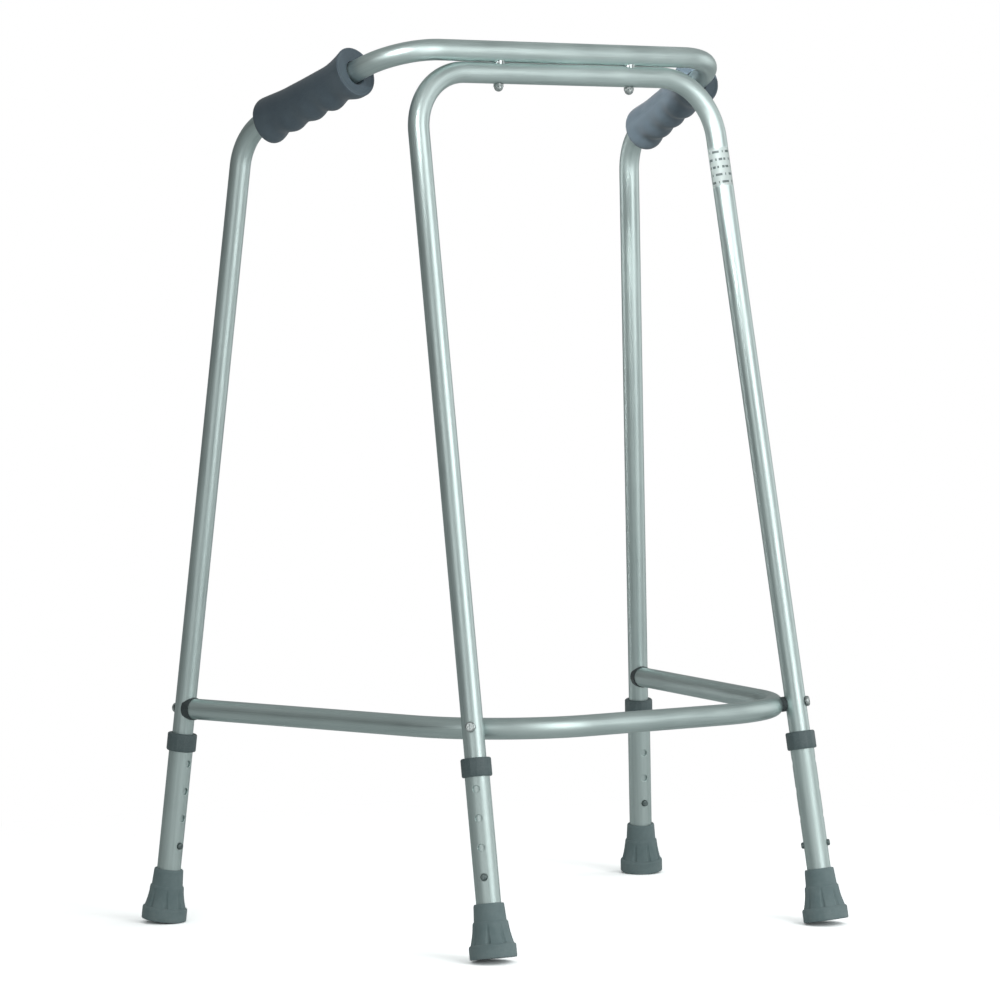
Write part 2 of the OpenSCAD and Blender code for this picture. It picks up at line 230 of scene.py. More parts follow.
def tube_line(corners, radii):
    """(point, direction, distance) along the middle of a tube bent to a radius at each inner corner."""
    line = []
    distance, start = 0.0, corners[0]
    for i in range(1, len(corners)):
        ahead = (corners[i] - corners[i - 1]).normalized()
        stop, turn = corners[i], 0.0
        if i < len(corners) - 1:
            after = (corners[i + 1] - corners[i]).normalized()
            turn = ahead.angle(after)
            stop = corners[i] - ahead * radii[i - 1] * math.tan(turn / 2)
        run = (stop - start).length
        steps = max(1, round(run / RUN_STEP))
        line += [(start.lerp(stop, k / steps), ahead, distance + run * k / steps) for k in range(steps)]
        distance += run
        if turn:
            radius = radii[i - 1]
            inward = (after - after.dot(ahead) * ahead).normalized()
            centre = stop + inward * radius
            steps = round(turn / BEND_STEP)
            for k in range(steps):
                angle = turn * k / steps
                spoke = ahead * math.sin(angle) - inward * math.cos(angle)
                heading = ahead * math.cos(angle) + inward * math.sin(angle)
                line.append((centre + spoke * radius, heading, distance + radius * angle))
            distance += radius * turn
            start = centre + (ahead * math.sin(turn) - inward * math.cos(turn)) * radius
    line.append((corners[-1], ahead, distance))
    return line


def bent_tube(name, corners, radii, stands_for):
    """A drawn tube with its wall, whose stock coordinates unroll every bend into one straight length."""
    line = tube_line(corners, radii)
    rims = []
    heading = line[0][1]
    across = heading.orthogonal().normalized()
    for point, direction, distance in line:
        across = heading.rotation_difference(direction) @ across
        heading = direction
        rims.append((point, across.copy(), direction.cross(across), distance))
    layers = [(TUBE_R, rims), (TUBE_R - TUBE_WALL, rims[::-1])]
    spokes = [math.tau * k / TUBE_ROUND for k in range(TUBE_ROUND)]
    rings, flat = [], []
    for radius, row in layers:
        for point, u, v, distance in row:
            rings.append([point + (u * math.cos(a) + v * math.sin(a)) * radius for a in spokes])
            flat += [(radius * math.cos(a), radius * math.sin(a), distance) for a in spokes]
    return make(name, loft(rings, cyclic=True), stands_for, "root", stock=flat)


# ---- finishes ----


class Finish:
    """A node-built material. Colours are linear, lengths are metres, and noise scales are per metre."""

    def __init__(self, name, coordinates):
        self.material = bpy.data.materials.new(name)
        self.material.use_nodes = True
        self.tree = self.material.node_tree
        self.shader = self.tree.nodes["Principled BSDF"]
        if coordinates == "stock":
            source = self.node("ShaderNodeAttribute", attribute_name="stock")
            self.at = source.outputs["Vector"]
        else:
            self.at = self.node("ShaderNodeTexCoord").outputs["Object"]

    def node(self, kind, **settings):
        made = self.tree.nodes.new(kind)
        for key, value in settings.items():
            setattr(made, key, value)
        return made

    def join(self, value, socket):
        if isinstance(value, bpy.types.NodeSocket):
            self.tree.links.new(value, socket)
        else:
            socket.default_value = value

    def stretched(self, scale):
        mapping = self.node("ShaderNodeMapping")
        self.join(self.at, mapping.inputs["Vector"])
        mapping.inputs["Scale"].default_value = scale
        return mapping.outputs["Vector"]

    def noise(self, per_metre, detail, at=None, roughness=0.5):
        made = self.node("ShaderNodeTexNoise")
        self.join(at or self.at, made.inputs["Vector"])
        made.inputs["Scale"].default_value = per_metre
        made.inputs["Detail"].default_value = detail
        made.inputs["Roughness"].default_value = roughness
        return made.outputs["Fac"]

    def span(self, value, low, high, from_low=0.35, from_high=0.65):
        """value between from_low and from_high, spread over low to high."""
        made = self.node("ShaderNodeMapRange")
        names = ("Value", "From Min", "From Max", "To Min", "To Max")
        for name, given in zip(names, (value, from_low, from_high, low, high)):
            self.join(given, made.inputs[name])
        return made.outputs["Result"]

    def maths(self, operation, a, b=0.0):
        made = self.node("ShaderNodeMath", operation=operation)
        self.join(a, made.inputs[0])
        self.join(b, made.inputs[1])
        return made.outputs["Value"]

    def blend(self, share, a, b):
        """Colour a, turning to colour b as share goes from 0 to 1."""
        made = self.node("ShaderNodeMix", data_type="RGBA")
        self.join(share, made.inputs["Factor"])
        colour_inputs = [socket for socket in made.inputs if socket.type == "RGBA"]
        for colour, socket in zip((a, b), colour_inputs):
            self.join((*colour, 1) if isinstance(colour, tuple) else colour, socket)
        return next(socket for socket in made.outputs if socket.type == "RGBA")

    def split(self, vector):
        made = self.node("ShaderNodeSeparateXYZ")
        self.join(vector, made.inputs["Vector"])
        return made.outputs

    def bump(self, height, depth, strength=1.0, over=None):
        made = self.node("ShaderNodeBump")
        made.inputs["Strength"].default_value = strength
        made.inputs["Distance"].default_value = depth
        self.join(height, made.inputs["Height"])
        if over:
            self.join(over, made.inputs["Normal"])
        return made.outputs["Normal"]

    def set(self, **values):
        names = {
            "colour": "Base Color",
            "metal": "Metallic",
            "roughness": "Roughness",
            "normal": "Normal",
            "sheen": "Sheen Weight",
            "specular": "Specular IOR Level",
        }
        for key, value in values.items():
            self.join(value, self.shader.inputs[names[key]])
        return self.material


def anodised(name, dark, light, rough):
    """Satin anodised tube: drawing lines along its length, a cloudy etch, and a few handling scuffs."""
    f = Finish(name, "stock")
    lines = f.noise(1400, 4, f.stretched((1, 1, 0.012)), 0.65)
    broad = f.noise(260, 2, f.stretched((1, 1, 0.03)))
    cloud = f.noise(22, 4)
    grain = f.noise(5200, 2)
    scratches = f.noise(120, 6, f.stretched((1, 1, 0.35)), 0.7)
    scuffs = f.span(scratches, 0, 1, 0.66, 0.74)
    tone = f.maths("ADD", f.span(lines, 0, 0.55), f.span(broad, 0, 0.45))
    colour = f.blend(tone, dark, light)
    colour = f.blend(f.span(cloud, 0.0, 0.35), colour, light)
    colour = f.blend(f.maths("MULTIPLY", scuffs, 0.25), colour, (0.86, 0.9, 0.89))
    gloss = f.maths("ADD", f.span(lines, rough - 0.05, rough + 0.06), f.span(cloud, -0.03, 0.05))
    gloss = f.maths("ADD", gloss, f.maths("MULTIPLY", scuffs, 0.1))
    normal = f.bump(lines, 0.012 * MM, 0.6)
    normal = f.bump(grain, 0.006 * MM, 0.35, normal)
    return f.set(colour=colour, metal=1.0, roughness=gloss, normal=normal)


def vinyl():
    """Soft slate vinyl: pebbled skin, faint marbling, and a worn shine that comes and goes."""
    f = Finish("grip_vinyl", "stock")
    marble = f.noise(38, 5, roughness=0.6)
    pebble = f.noise(1150, 3, roughness=0.55)
    wear = f.noise(16, 3)
    colour = f.blend(f.span(marble, 0, 1), (0.066, 0.097, 0.124), (0.088, 0.123, 0.150))
    colour = f.blend(f.span(pebble, 0, 0.3), colour, (0.128, 0.165, 0.185))
    roughness = f.maths("ADD", f.span(wear, 0.42, 0.56), f.span(pebble, -0.04, 0.04))
    normal = f.bump(pebble, 0.10 * MM, 0.55)
    normal = f.bump(marble, 0.35 * MM, 0.25, normal)
    return f.set(colour=colour, roughness=roughness, normal=normal, sheen=0.12, specular=0.45)


DUST_HEIGHT = 24 * MM


def rubber():
    """Moulded rubber: matt, finely pitted, with pale floor dust towards its base."""
    f = Finish("ferrule_rubber", "stock")
    bloom = f.noise(55, 5, roughness=0.6)
    pits = f.noise(1700, 3, roughness=0.6)
    height = f.split(f.at)["Z"]
    near_floor = f.span(height, 1, 0, 0.0, DUST_HEIGHT)
    dust = f.maths("MULTIPLY", near_floor, f.span(f.noise(240, 5, roughness=0.7), 0, 0.7, 0.42, 0.7))
    colour = f.blend(f.span(bloom, 0, 1), (0.150, 0.215, 0.222), (0.195, 0.262, 0.268))
    colour = f.blend(f.maths("MULTIPLY", dust, 0.35), colour, (0.34, 0.38, 0.37))
    roughness = f.maths("ADD", f.span(bloom, 0.58, 0.72), f.span(pits, -0.05, 0.05))
    normal = f.bump(pits, 0.08 * MM, 0.6)
    normal = f.bump(bloom, 0.4 * MM, 0.2, normal)
    return f.set(colour=colour, roughness=roughness, normal=normal, sheen=0.15, specular=0.35)


def plastic(name, dark, light, coordinates):
    """Moulded plastic with an eroded texture and rubbed, slightly shinier patches."""
    f = Finish(name, coordinates)
    skin = f.noise(900, 4, roughness=0.6)
    rubbed = f.noise(70, 4)
    colour = f.blend(f.span(skin, 0, 1), dark, light)
    roughness = f.maths("ADD", f.span(rubbed, 0.38, 0.55), f.span(skin, -0.04, 0.04))
    normal = f.bump(skin, 0.07 * MM, 0.6)
    return f.set(colour=colour, roughness=roughness, normal=normal, specular=0.45)


def plated(name, dark, light, rough, metal=1.0):
    """Plated steel: a faint spangle in tone and gloss, and fine handling marks."""
    f = Finish(name, "object")
    spangle = f.noise(420, 4, roughness=0.6)
    marks = f.noise(2600, 3, roughness=0.7)
    colour = f.blend(f.span(spangle, 0, 1), dark, light)
    roughness = f.span(spangle, rough - 0.04, rough + 0.06)
    roughness = f.maths("ADD", roughness, f.span(marks, -0.02, 0.05))
    normal = f.bump(marks, 0.01 * MM, 0.5)
    return f.set(colour=colour, metal=metal, roughness=roughness, normal=normal)


LABEL_ROWS = 5
INK_FROM, INK_TO = 0.3, 0.62  # the inked share of each row's height
INK_WAVES = (37, 13)  # two waves along a row, in radians over its width, that break it into dashes
INK_SHIFT = 2.3  # how far the waves of a row are shifted from those of the row below, in radians
INK_BREAK = -0.15  # ink stops where the waves add up to less
INK_HALF_WIDTH = 0.44  # of the label's width
INK_DENSITY = 0.85


def label_film():
    """Thin film over the tube with rows of short unreadable dashes, a little soiled."""
    f = Finish("label_film", "stock")
    place = f.split(f.at)
    across, up = place["X"], place["Z"]
    row = f.maths("MULTIPLY", up, LABEL_ROWS)
    level = f.maths("FRACT", row)
    above, below = f.maths("GREATER_THAN", level, INK_FROM), f.maths("LESS_THAN", level, INK_TO)
    shift = f.maths("MULTIPLY", f.maths("FLOOR", row), INK_SHIFT)
    waves = [
        f.maths("SINE", f.maths("ADD", f.maths("MULTIPLY", across, wave), shift)) for wave in INK_WAVES
    ]
    dash = f.maths("GREATER_THAN", f.maths("ADD", *waves), INK_BREAK)
    off_middle = f.maths("ABSOLUTE", f.maths("SUBTRACT", across, 0.5))
    inside = f.maths("LESS_THAN", off_middle, INK_HALF_WIDTH)
    ink = INK_DENSITY
    for mask in (above, below, dash, inside):
        ink = f.maths("MULTIPLY", mask, ink)
    soil = f.noise(300, 5, roughness=0.65)
    film = f.blend(f.span(soil, 0, 0.6), (0.40, 0.46, 0.45), (0.33, 0.38, 0.37))
    colour = f.blend(ink, film, (0.03, 0.05, 0.05))
    normal = f.bump(soil, 0.02 * MM, 0.4)
    return f.set(colour=colour, roughness=f.span(soil, 0.4, 0.55), normal=normal)


# Each material slot of the record, with its dark and light colour and its roughness where they differ
FINISHES = {
    "tube_anodised": anodised("tube_anodised", (0.47, 0.57, 0.56), (0.62, 0.72, 0.705), 0.42),
    "sleeve_anodised": anodised("sleeve_anodised", (0.48, 0.58, 0.565), (0.62, 0.72, 0.705), 0.5),
    "grip_vinyl": vinyl(),
    "ferrule_rubber": rubber(),
    "collar_plastic": plastic("collar_plastic", (0.085, 0.125, 0.13), (0.125, 0.165, 0.17), "stock"),
    "dark_plastic": plastic("dark_plastic", (0.035, 0.048, 0.050), (0.065, 0.085, 0.088), "object"),
    "zinc_steel": plated("zinc_steel", (0.36, 0.41, 0.41), (0.58, 0.62, 0.61), 0.26),
    "button_steel": plated("button_steel", (0.13, 0.17, 0.17), (0.24, 0.29, 0.285), 0.42, 0.85),
    "spring_steel": plated("spring_steel", (0.32, 0.36, 0.42), (0.5, 0.54, 0.58), 0.28),
    "label_film": label_film(),
}


# ---- frame tubes ----


def front_corner(side):
    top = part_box("front_leg_tube")[1].z - TUBE_R
    return on_leg("front_left" if side < 0 else "front_right", top)


def brace_corners():
    """Middle line of the brace: each side runs in the direction of its rear leg's snap buttons."""
    low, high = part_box("lower_brace")
    middle = (low.z + high.z) / 2
    corners = []
    for side, leg in ((-1, "rear_left"), (1, "rear_right")):
        place = leg_place(leg)
        out, up = place.col[0].xyz, place.col[2].xyz
        heading = (out - up * (out.z / up.z)).normalized()
        start = on_leg(leg, middle) + heading * BRACE_END
        corner = start + heading * ((low.y + TUBE_R - start.y) / heading.y)
        corners += [start, corner] if side < 0 else [corner, start]
    return corners


handle_corners = [leg_end("rear_left"), rear_corner(-1), handle_corner(-1)]
handle_corners += [handle_corner(1), rear_corner(1), leg_end("rear_right")]
handle_bends = [REAR_BEND_R, CROSSBAR_BEND_R, CROSSBAR_BEND_R, REAR_BEND_R]
front_corners = [leg_end("front_left"), front_corner(-1), front_corner(1), leg_end("front_right")]
bent_tube("drawn_handle_tube", handle_corners, handle_bends, "handle_tube")
bent_tube("drawn_front_leg_tube", front_corners, [FRONT_BEND_R, FRONT_BEND_R], "front_leg_tube")
bent_tube("drawn_lower_brace", brace_corners(), [BRACE_BEND_R, BRACE_BEND_R], "lower_brace")


# ---- hand grips ----

GRIP_ROUND = 120  # points round a grip
GRIP_STEP = 1.25 * MM
# (distance from the rear end, radius) in mm, along the top and along the finger side underneath
GRIP_TOP = [(0, 22.8), (48, 20.0), (72, 19.7), (104, 19.7)]
GRIP_UNDER = [(0, 26.2), (5, 26.9), (20, 22.2), (37, 25.8), (52, 22.6), (69, 26.0), (83, 22.2), (98, 26.6),
              (114, 22.4), (134, 27.2), (140, 26.9)]
TOP_FLARE = 7.0  # rise of the top towards the front rim, in mm
TOP_FLARE_START = 104  # mm from the rear end
TOP_FLARE_CURVE = 1.6
GROOVE_REACH = 0.86  # the grooves end where the angle from straight down, times this, is a right angle
GROOVE_FADE = 2.6
FRONT_EDGE = 1.3 * MM
REAR_EDGE = (2.5 * MM, 9 * MM)  # rounding of the rear end, underneath and on top
EDGE_STEPS = 7
GRIP_MOUTH_DEPTH = 9 * MM
GRIP_PLAY = 0.05 * MM  # between the tube and the bore
MOUTH_GAP, MOUTH_SAG = 0.9, 2.6  # mm by which the mouth widens all round, and how much more underneath
MOUTH_STEPS = 3
MOUTH_CURVE = 1.5
FACE_DISH = ((2.6, 0.0), (3.4, 0.5), (5.0, 0.7))  # (distance in from the rim, depth) in mm
END_EDGE = 0.8 * MM  # chamfer of the bore at the rear end, and the mouth's depth below the front rim
FLASH = 0.22 * MM  # height of the mould's parting line along each side


def grip_radius(distance, angle):
    """Angle 0 points down. The finger grooves fade out just above half way up each side."""
    at = distance / MM
    top = eased(GRIP_TOP, at)
    if at > TOP_FLARE_START:
        flare = (at - TOP_FLARE_START) / (GRIP_LEN / MM - TOP_FLARE_START)
        top += TOP_FLARE * flare**TOP_FLARE_CURVE
    under = max(0.0, math.cos(angle * GROOVE_REACH)) ** GROOVE_FADE
    radius = (top * (1 - under) + eased(GRIP_UNDER, at) * under) * MM
    if abs(abs(angle) - math.pi / 2) < math.pi / GRIP_ROUND:
        radius += FLASH
    return radius


def hand_grip(side, name, stands_for):
    """A moulded grip: rounded rear end, grooved body, dished front face and a mouth round the tube."""
    angles = [math.tau * k / GRIP_ROUND for k in range(GRIP_ROUND)]
    turned = [(a + math.pi) % math.tau - math.pi for a in angles]
    rings = []

    def ring(radius_at, height_at):
        rings.append([
            Vector((radius_at(t) * math.cos(a), radius_at(t) * math.sin(a), height_at(t)))
            for a, t in zip(angles, turned)
        ])

    def rear_edge(angle):
        low, high = REAR_EDGE
        return low + (high - low) * (1 - math.cos(angle)) / 2

    def rear_point(angle, turn):
        """Radius and height on the rounded rear end, from the side (turn 0) to its face (a right angle)."""
        edge = rear_edge(angle)
        height = edge * (1 - math.sin(turn))
        return grip_radius(height, angle) - edge * (1 - math.cos(turn)), height

    for k in range(EDGE_STEPS, -1, -1):
        turn = math.pi / 2 * k / EDGE_STEPS
        ring(lambda t: rear_point(t, turn)[0], lambda t: rear_point(t, turn)[1])
    count = round((GRIP_LEN - FRONT_EDGE) / GRIP_STEP)
    for k in range(1, count):
        def height(t):
            start = rear_edge(t)
            return start + (GRIP_LEN - FRONT_EDGE - start) * k / count
        ring(lambda t: grip_radius(height(t), t), height)
    for k in range(EDGE_STEPS + 1):
        turn = math.pi / 2 * k / EDGE_STEPS
        height = GRIP_LEN - FRONT_EDGE * (1 - math.sin(turn))
        inset = FRONT_EDGE * (1 - math.cos(turn))
        ring(lambda t: grip_radius(height, t) - inset, lambda t: height)
    for inset, drop in FACE_DISH:
        ring(lambda t: grip_radius(GRIP_LEN, t) - inset * MM, lambda t: GRIP_LEN - drop * MM)
    bore = TUBE_R + GRIP_PLAY
    for k in range(MOUTH_STEPS + 1):
        share = k / MOUTH_STEPS
        loose = (1 - share) ** MOUTH_CURVE * MM
        ring(lambda t: bore + loose * (MOUTH_GAP + MOUTH_SAG * max(0.0, math.cos(t)) ** 2),
             lambda t: GRIP_LEN - END_EDGE - GRIP_MOUTH_DEPTH * share)
    ring(lambda t: bore, lambda t: END_EDGE)
    ring(lambda t: bore + END_EDGE, lambda t: 0)
    return make(name, loft(rings, cyclic=True), stands_for, "root", grip_place(side))


hand_grip(-1, "moulded_left_grip", "left_grip")
hand_grip(1, "moulded_right_grip", "right_grip")


# ---- leg extensions ----

PATCH = 6 * MM  # half the side of the square of wall that each hole is cut from
PATCH_STEPS = 8
SIDE_STEPS = 16  # strips of wall round each side between the two rows of holes
FOOT_STEPS = 10  # rows of wall below the lowest hole
GAP_STEPS = 3  # rows of wall above each hole
RIM = 0.4 * MM  # radius of each hole's eased edge
RIM_STEPS = 3
RING_SHARES = (0, 0.4, 0.75, 1)  # places of the rings of wall from a patch's border to its hole's rim


def drilled_tube():
    """An extension tube with its holes, as a grid of wall with rings of quads round every hole."""
    verts, faces = [], []

    def corner(x, y, z):
        verts.append(Vector((x, y, z)))
        return len(verts) - 1

    def quad(points):
        faces.append(tuple(corner(*point) for point in points))

    half = math.asin(PATCH / SLEEVE_R)
    turns = []
    for middle in (0, math.pi):
        turns += [middle - half + 2 * half * k / PATCH_STEPS for k in range(PATCH_STEPS)]
        turns += [middle + half + (math.pi - 2 * half) * k / SIDE_STEPS for k in range(SIDE_STEPS)]
    turns.append(turns[0] + math.tau)
    holes = [FIRST_HOLE + HOLE_PITCH * k for k in range(HOLE_COUNT)]
    foot = holes[0] - PATCH - SLEEVE_START
    levels = [SLEEVE_START + foot * k / FOOT_STEPS for k in range(FOOT_STEPS)]
    for hole in holes:
        levels += [hole - PATCH + 2 * PATCH * k / PATCH_STEPS for k in range(PATCH_STEPS)]
        stop = hole + HOLE_PITCH - PATCH if hole < holes[-1] else SLEEVE_END
        levels += [hole + PATCH + (stop - hole - PATCH) * k / GAP_STEPS for k in range(GAP_STEPS)]
    levels.append(SLEEVE_END)

    def in_patch(turn, level):
        near_hole = any(abs(level - hole) < PATCH for hole in holes)
        return near_hole and any(abs(turn - middle) < half for middle in (0, math.pi))

    for radius in (SLEEVE_R, SLEEVE_BORE_R):
        for a, b in zip(turns, turns[1:]):
            for low, high in zip(levels, levels[1:]):
                if not in_patch((a + b) / 2, (low + high) / 2):
                    quad([(radius * math.cos(t), radius * math.sin(t), z)
                          for t, z in ((a, low), (b, low), (b, high), (a, high))])
    for z in (SLEEVE_START, SLEEVE_END):
        for a, b in zip(turns, turns[1:]):
            quad([(r * math.cos(t), r * math.sin(t), z)
                  for r, t in ((SLEEVE_R, a), (SLEEVE_R, b), (SLEEVE_BORE_R, b), (SLEEVE_BORE_R, a))])

    # places round a patch's border, as shares of half its side
    steps = [-1 + 2 * k / PATCH_STEPS for k in range(PATCH_STEPS)]
    border = [(step, -1) for step in steps] + [(1, step) for step in steps]
    border += [(-step, 1) for step in steps] + [(-1, -step) for step in steps]

    def patch_rings(hole, wall_r, sink):
        """Rings from the border to the rim on one wall; sink is the sign that goes into the metal."""
        rings = []
        edge = [(wall_r * math.sin(half * u), PATCH * v) for u, v in border]
        phases = [math.atan2(PATCH * v, SLEEVE_R * math.sin(half * u)) for u, v in border]
        rim = HOLE_R + RIM
        for share in RING_SHARES:
            ring = []
            for (y, z), phase in zip(edge, phases):
                y = y + (rim * math.cos(phase) - y) * share
                z = z + (rim * math.sin(phase) - z) * share
                ring.append((math.sqrt(wall_r**2 - y**2), y, hole + z))
            rings.append(ring)
        for k in range(1, RIM_STEPS + 1):
            turn = math.pi / 2 * k / RIM_STEPS
            r = HOLE_R + RIM * (1 - math.sin(turn))
            depth = sink * RIM * (1 - math.cos(turn))
            ring = []
            for phase in phases:
                y, z = r * math.cos(phase), r * math.sin(phase)
                ring.append((math.sqrt(wall_r**2 - y**2) + depth, y, hole + z))
            rings.append(ring)
        return rings

    for facing in (1, -1):
        for hole in holes:
            rings = patch_rings(hole, SLEEVE_R, -1) + patch_rings(hole, SLEEVE_BORE_R, 1)[::-1]
            for first, second in zip(rings, rings[1:]):
                for k in range(len(first)):
                    j = (k + 1) % len(first)
                    quad([(facing * x, facing * y, z)
                          for x, y, z in (first[k], first[j], second[j], second[k])])
    return verts, faces


COLLAR_SIDES = 14
COLLAR_FLATNESS = 0.65  # 0 is round, 1 is flat-sided
COLLAR_ROUND = 12 * COLLAR_SIDES  # points round a collar


def collar_radius(radius, height, angle):
    """Flattens the outside of the collar a little into soft facets."""
    if radius < SLEEVE_R + 1.5 * MM:
        return radius
    sector = math.tau / COLLAR_SIDES
    off = (angle + sector / 2) % sector - sector / 2
    flat = math.cos(sector / 2) / math.cos(off)
    return radius * (1 - COLLAR_FLATNESS + COLLAR_FLATNESS * flat)


def collar_skin():
    """A ring with softened edges round the top of the extension tube, which ends on a seat inside it."""
    outer, h, bore, seat = 15.75, 19, 11.22, 16.35
    inner = SLEEVE_R / MM + 0.05
    profile = [(inner, 0), (outer - 1.4, 0), (outer - 0.5, 0.4), (outer, 1.4), (outer, 7), (outer, 12)]
    profile += [(outer, h - 1.6), (outer - 0.5, h - 0.5), (outer - 1.6, h)]
    profile += [(bore + 0.6, h), (bore, h - 0.5), (bore, seat), (inner, seat)]
    return revolve([(r * MM, COLLAR_START + z * MM) for r, z in profile], COLLAR_ROUND, collar_radius)


SLOTS = 8
SLOT_TOP = 35.5 * MM
SLOT_FOOT = 14.6 * MM
SLOT_WIDTH = (0.8, 2.7)  # half a slot's width at its top and its foot, in mm
SLOT_DEPTH = (0.3, 1.7)
SLOT_FADE = 0.08  # share of a slot's length over which it starts, at its top
SLOT_CURVE = 0.6  # how its depth grows from its edges: 1 is a parabola, less is flatter in the middle
BELLY = 0.35 * MM  # how far the skirt sinks in the middle of each rib
FERRULE_ROUND = 24 * SLOTS  # points round a ferrule


def ferrule_radius(radius, height, angle):
    """Cuts wedge-shaped slots down the skirt: narrow and shallow at the top, wide and deep at its foot."""
    if not SLOT_FOOT - 0.1 * MM < height < SLOT_TOP or radius < SLEEVE_R + 2 * MM:
        return radius
    sector = math.tau / SLOTS
    off = abs((angle + sector / 2) % sector - sector / 2) * radius
    down = (SLOT_TOP - height) / (SLOT_TOP - SLOT_FOOT)
    width, depth = (at_top + (at_foot - at_top) * down for at_top, at_foot in (SLOT_WIDTH, SLOT_DEPTH))
    depth *= min(1, down / SLOT_FADE)
    share = max(0.0, 1 - (off / (width * MM)) ** 2)
    belly = BELLY * math.sin(math.pi * down) * math.cos(SLOTS * angle / 2) ** 2
    return radius - depth * MM * share**SLOT_CURVE - belly


def ferrule_skin():
    """Sole with two ring grooves, rounded edge, base ring, slotted skirt, shoulder, neck and socket."""
    base, neck, bore, sole, top = 24.0, 15.5, 12.75, 10.0, 55.2
    edge, edge_steps = 1.5, 6
    skirt_foot_r, skirt_top_r, skirt_foot, skirt_top, skirt_steps = 22.0, 18.0, 14.6, 36.0, 18
    neck_foot_r, neck_foot, neck_steps = 16.6, 38.0, 6
    profile = [(0, 0.6), (5, 0.6), (5.6, 0), (9, 0), (9.6, 1.1), (11.4, 1.1), (12, 0), (15, 0),
               (15.6, 1.1), (17.4, 1.1), (18, 0)]
    for k in range(edge_steps + 1):
        turn = math.pi / 2 * k / edge_steps
        profile.append((base - edge + edge * math.sin(turn), edge - edge * math.cos(turn)))
    profile += [(base, z) for z in (3.5, 6, 9, 11.5)]
    profile += [(base - 0.15, 13.0), (base - 0.7, 13.8), (base - 1.7, 14.4), (skirt_foot_r, skirt_foot)]
    for k in range(1, skirt_steps + 1):
        share = k / skirt_steps
        hollow = 0.4 * math.sin(math.pi * share)
        radius = skirt_foot_r + (skirt_top_r - skirt_foot_r) * share - hollow
        profile.append((radius, skirt_foot + (skirt_top - skirt_foot) * share))
    profile += [(17.8, 36.5), (17.4, 37.0), (16.9, 37.4), (neck_foot_r, neck_foot)]
    for k in range(1, neck_steps + 1):
        share = k / neck_steps
        profile.append((neck_foot_r - share, neck_foot + (top - 1.7 - neck_foot) * share))
    profile += [(neck - 0.25, top - 0.6), (neck - 0.9, top), (bore + 0.5, top), (bore, top - 0.5),
                (bore, sole), (0, sole)]
    return revolve([(r * MM, z * MM) for r, z in profile], FERRULE_ROUND, ferrule_radius)


collar = collar_skin()
ferrule = ferrule_skin()
sleeve = drilled_tube()
for leg in LEGS:
    body = leg + "_extension"
    place = leg_place(leg)
    make("drilled_" + leg + "_tube", sleeve, leg + "_extension_tube", body, place)
    make("moulded_" + leg + "_collar", collar, leg + "_collar", body, place)
    make("moulded_" + leg + "_ferrule", ferrule, leg + "_ferrule", body, place)


# ---- snap springs ----


def flexing_spring(leg):
    """A copy of the CAD's spring, fixed to the frame in place of the CAD node."""
    source = frame["nodes"][leg + "_snap_spring"].data
    points = [vertex.co.copy() for vertex in source.vertices]
    faces = [tuple(face.vertices) for face in source.polygons]
    piece = make("hairpin_" + leg + "_spring", (points, faces), leg + "_snap_spring", "root")
    centre = leg_place(leg) @ Vector((0, 0, FIRST_HOLE))
    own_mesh(piece)


for leg in LEGS:
    flexing_spring(leg)


# ---- label ----

LABEL_WRAP = math.radians(150)  # how far it goes round the leg
LABEL_TURN = math.radians(-161)  # where it starts, from the direction of the leg's outer snap button
LABEL_FILM = 0.15 * MM
LABEL_STEPS = (60, 24)  # across and up


def label_skin():
    """A curved sheet. Returns its skin, and each point's place across and up it as shares of its sides."""
    across, up = LABEL_STEPS
    rings, flat = [], []
    for radius in (TUBE_R + 0.02 * MM, TUBE_R + LABEL_FILM):
        for k in range(up + 1):
            ring = []
            for j in range(across + 1):
                u, v = j / across, k / up
                turn = LABEL_TURN + LABEL_WRAP * u
                ring.append(Vector((radius * math.cos(turn), radius * math.sin(turn),
                                    LABEL_START + LABEL_H * v)))
                flat.append((u, 0, v))
            rings.append(ring)
    verts = [point for ring in rings for point in ring]
    row, sheet = across + 1, (across + 1) * (up + 1)
    faces = []
    for base in (0, sheet):
        for k in range(up):
            for j in range(across):
                a = base + k * row + j
                faces.append((a, a + 1, a + row + 1, a + row))
    rim = list(range(across)) + [k * row + across for k in range(up)]
    rim += [up * row + j for j in range(across, 0, -1)] + [k * row for k in range(up, 0, -1)]
    for a, b in zip(rim, rim[1:] + rim[:1]):
        faces.append((a, b, b + sheet, a + sheet))
    return (verts, faces), flat


skin, shares = label_skin()
make("wrapped_label", skin, "blank_label", "root", leg_place("front_right"), stock=shares)

# ---- finishes of the CAD nodes that stay ----

for cad_node in frame["nodes"].values():
    for slot in cad_node.material_slots:
        slot.material = FINISHES[slot.material.name]


# ---- studio ----

BRIGHT_WALL = (0.55, -0.835, 0)  # direction of the room's brightest wall
WALLS = (0.14, 0.5)  # strength opposite the bright wall, and towards it
CEILING = 0.4
CEILING_RAMP = (0.1, 0.9)  # upward share of a direction where the ceiling starts and is complete
ROOM_TINT = (0.97, 1.0, 0.995, 1)
FLOOR_TINT = (0.75, 0.77, 0.77, 1)
FLOOR_SEEN = 2.3  # the camera's view of the floor is lifted towards white
FLOOR_FADE = (0.45, 1.1)  # distance from the middle, in metres, over which it turns white


def shader_tree(owner):
    owner.use_nodes = True
    owner.node_tree.nodes.clear()
    return owner.node_tree


